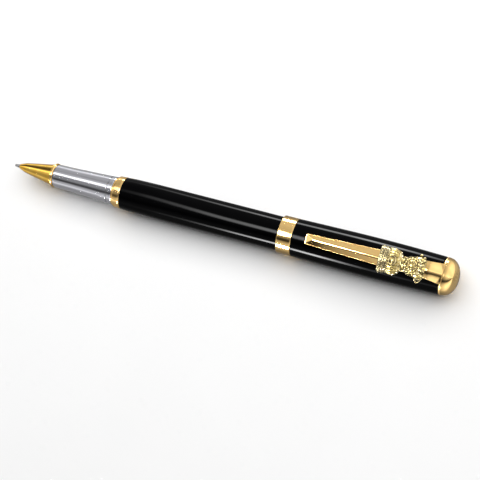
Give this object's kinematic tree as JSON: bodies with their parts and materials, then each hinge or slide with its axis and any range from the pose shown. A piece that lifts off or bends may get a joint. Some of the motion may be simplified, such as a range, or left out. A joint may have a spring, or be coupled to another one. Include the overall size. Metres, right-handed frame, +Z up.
{
  "type": "capped rollerball pen",
  "caption": "Lacquered rollerball pen with its clip cap posted on the tail, metal grip, turned nose cone and a cast baluster clip.",
  "frame": {"origin": "on the floor under the pen's axis, half way between the writing ball and the finial's apex, with the cap posted", "axes": "+X along the pen from the writing ball to the finial, +Z up through the middle of the clip, +Y across"},
  "size_m": [0.1526, 0.0126, 0.0159],
  "materials": {
    "black_lacquer": "deep gloss black lacquer over a brass tube",
    "gold_trim": "polished gold plate",
    "chrome_grip": "chrome plate with a fine lengthwise brush",
    "brass_inner": "plain turned brass",
    "steel": "turned stainless steel",
    "black_plastic": "moulded, slightly matt",
    "grey_plastic": "extruded tube",
    "ink_fibre": "bonded fibre rod soaked with ink"
  },
  "bodies": {
    "barrel": {"barrel_tube": "black_lacquer", "barrel_thread_bush": "brass_inner", "barrel_tail_cap": "black_lacquer", "pressure_spring": "steel"},
    "trim_ring": {"section_trim_ring": "gold_trim"},
    "section": {"nose_cone": "gold_trim", "nose_bead_ring": "gold_trim", "grip_sleeve": "chrome_grip", "grip_rear_collar": "chrome_grip", "section_thread_bush": "brass_inner"},
    "refill": {"refill_tube": "grey_plastic", "refill_tip_holder": "black_plastic", "refill_tip": "steel", "refill_ink_wick": "ink_fibre", "refill_end_plug": "black_plastic"},
    "ball": {"writing_ball": "steel"},
    "cap": {"cap_lip_band": "gold_trim", "cap_tube": "black_lacquer", "inner_cap": "black_plastic", "finial_stud": "steel", "finial_nut": "brass_inner", "clip_ring": "gold_trim", "finial_dome": "gold_trim"},
    "clip": {"clip_blade": "gold_trim", "clip_ornament": "gold_trim", "clip_boss": "gold_trim", "clip_arm": "gold_trim"}
  },
  "joints": [
    {"name": "cap_slide", "type": "slide", "parent": "barrel", "child": "cap", "axis": [1, 0, 0], "range_m": [0, 0.036]},
    {"name": "clip_flex", "type": "hinge", "parent": "cap", "child": "clip", "pos_m": [0.0716, 0, 0.0124], "axis": [0, 1, 0], "range_deg": [0, 3.5], "stiffness_Nm_per_rad": 3, "springref_deg": -1.15},
    {"name": "section_advance", "type": "slide", "parent": "barrel", "child": "trim_ring", "axis": [-1, 0, 0], "range_m": [0, 0.0038]},
    {"name": "section_turn", "type": "hinge", "parent": "trim_ring", "child": "section", "pos_m": [-0.0388, 0, 0.0063], "axis": [-1, 0, 0], "range_deg": [0, 1800]},
    {"name": "refill_press", "type": "slide", "parent": "section", "child": "refill", "axis": [1, 0, 0], "range_m": [0, 0.0015], "stiffness_N_per_m": 300, "springref_m": -0.003, "deforming": ["pressure_spring"]},
    {"name": "ball_roll", "type": "hinge", "parent": "refill", "child": "ball", "pos_m": [-0.07595, 0, 0.0063], "axis": [0, 1, 0], "continuous": true}
  ],
  "couplings": [
    {"joint": "section_advance", "follows": "section_turn", "m_per_rad": 0.00011937}
  ]
}
